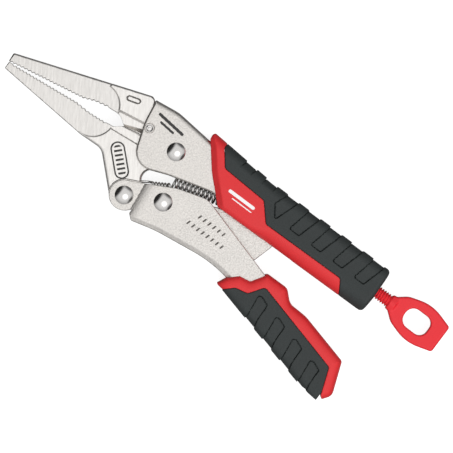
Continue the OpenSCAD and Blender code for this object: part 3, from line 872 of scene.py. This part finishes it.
colour_film("frame_mark", [oval((-16.2, 9.4), (-2.6, 8.0), 0.75), oval((-13.6, 6.7), (-6.4, 6.0), 0.6)],
        PLATE_OUT, "frame", DARK_INK_AND_SHADE,
        (stops((-18, 0, 0.25)), stops((4.6, 11, 0.25)), across((6.7, 7.1, 0.05))))
# Painted shade: a dark fill on the floor of the slot's sunk outline.
colour_film("slot_groove_shade", [slot_lines], UPPER_HALF - MARK_CUT + SHADE_LIFT, "frame", STAMP_SHADE,
        (stops((-33.8, -26.2, 0.2)), stops((5.2, 9.8, 0.2)), across((4.15, 4.45, 0.05))))
# Painted shade: a dark fill on the floors of the stamped bars.
colour_film("lever_groove_shade", [stamp_lines], PLATE_OUT - MARK_CUT + SHADE_LIFT, "lever", STAMP_SHADE,
        (stops((22, 45, 0.22)), stops((-23.8, -16, 0.22)), across((6.4, 6.7, 0.05))))
# Painted shade: a dark fill on the floors of the badge's sunk lines.
colour_film("jaw_badge_groove_shade", [badge_lines], LOWER_HALF - MARK_CUT + SHADE_LIFT, "jaw", DARK_INK_AND_SHADE,
        (stops((-26.4, -10.6, 0.2)), stops((-26.4, -10.8, 0.2)), across((3.9, 4.2, 0.05))))
colour_film("grip_mark", [oval((30.6, 0.5), (43.6, 0.5), 0.85), oval((33.4, -1.7), (43.9, -1.7), 0.3)],
        lambda y: GRIP_HALF - 0.045 - upper_crown(y), "frame", WHITE_INK,
        (stops((29, 45.6, 0.25)), stops((-2.6, 2, 0.2)), across((10, 10.45, 0.05))))

# ---- Camera, floor and light ----
VIEW_CENTRE = np.array([38.9, -13.5])
VIEW_WIDTH = 208.4
LENS, SENSOR = 250, 36
camera_data = bpy.data.cameras.new("camera")
camera_data.lens = LENS
camera_data.sensor_width = SENSOR
camera = bpy.data.objects.new("camera", camera_data)
bpy.context.scene.collection.objects.link(camera)
camera.location = world_point(*VIEW_CENTRE, VIEW_WIDTH * LENS / SENSOR)
camera.rotation_euler = (0, 0, math.atan2(0.6, 0.8))
bpy.context.scene.camera = camera

# The floor takes no part in reflections or bounced light, so the metals show the studio alone.
bpy.ops.mesh.primitive_grid_add(x_subdivisions=2, y_subdivisions=2, size=3)
floor = bpy.context.object
floor.name = "floor"
floor.visible_glossy = False
floor.visible_diffuse = False
floor_finish = material("pale_floor", (0.45, 0.45, 0.45), 0.9, 0.0, (0.0, 0.02, 3), 0.01, specular=0.1)
floor_shader = floor_finish.node_tree.nodes["Principled BSDF"]
floor_shader.inputs["Emission Color"].default_value = (1, 1, 1, 1)
floor_shader.inputs["Emission Strength"].default_value = 0.8
floor.data.materials.append(floor_finish)

bpy.context.scene.view_settings.view_transform = "Standard"
world = bpy.data.worlds.new("studio")
bpy.context.scene.world = world
world.use_nodes = True
tree = world.node_tree
direction = tree.nodes.new("ShaderNodeTexCoord").outputs["Generated"]
split = tree.nodes.new("ShaderNodeSeparateXYZ")
tree.links.new(direction, split.inputs["Vector"])


def fall(source, start, end, low, high):
    """A smooth change from low to high as the source goes from start to end."""
    r = tree.nodes.new("ShaderNodeMapRange")
    r.interpolation_type = "SMOOTHSTEP"
    r.inputs["From Min"].default_value = start
    r.inputs["From Max"].default_value = end
    r.inputs["To Min"].default_value = low
    r.inputs["To Max"].default_value = high
    tree.links.new(source, r.inputs["Value"])
    return r.outputs["Result"]


def combine(operation, a, b):
    node = tree.nodes.new("ShaderNodeMath")
    node.operation = operation
    tree.links.new(a, node.inputs[0])
    tree.links.new(b, node.inputs[1])
    return node.outputs[0]


# A pale room, darker to the left, low on the right, at the far side and towards the horizon.
room = fall(split.outputs["X"], -0.8, -0.54, 0.03, 1)
room = combine("MULTIPLY", room, fall(split.outputs["Z"], -0.1, 0.75, 0.3, 0.75))
room = combine("MULTIPLY", room, fall(split.outputs["Y"], 0.75, 0.97, 1, 0.2))
room = combine("MULTIPLY", room, fall(split.outputs["X"], 0.78, 0.94, 1, 0.1))

# A round softbox overhead.
facing = tree.nodes.new("ShaderNodeVectorMath")
facing.operation = "DOT_PRODUCT"
tree.links.new(direction, facing.inputs[0])
facing.inputs[1].default_value = Vector((0.28, -0.12, 0.95)).normalized()
softbox = fall(facing.outputs["Value"], 0.88, 0.95, 0, 0.65)
background = tree.nodes["Background"]
tree.links.new(combine("ADD", room, softbox), background.inputs["Strength"])
background.inputs["Color"].default_value = (1, 1, 1, 1)

key_data = bpy.data.lights.new("key", "AREA")
key_data.size = 1.1
key_data.energy = 7.8
key = bpy.data.objects.new("key", key_data)
bpy.context.scene.collection.objects.link(key)
key.location = (0.45, -0.15, 1.1)
key.rotation_euler = (-key.location).to_track_quat("-Z", "Y").to_euler()
key.visible_glossy = False
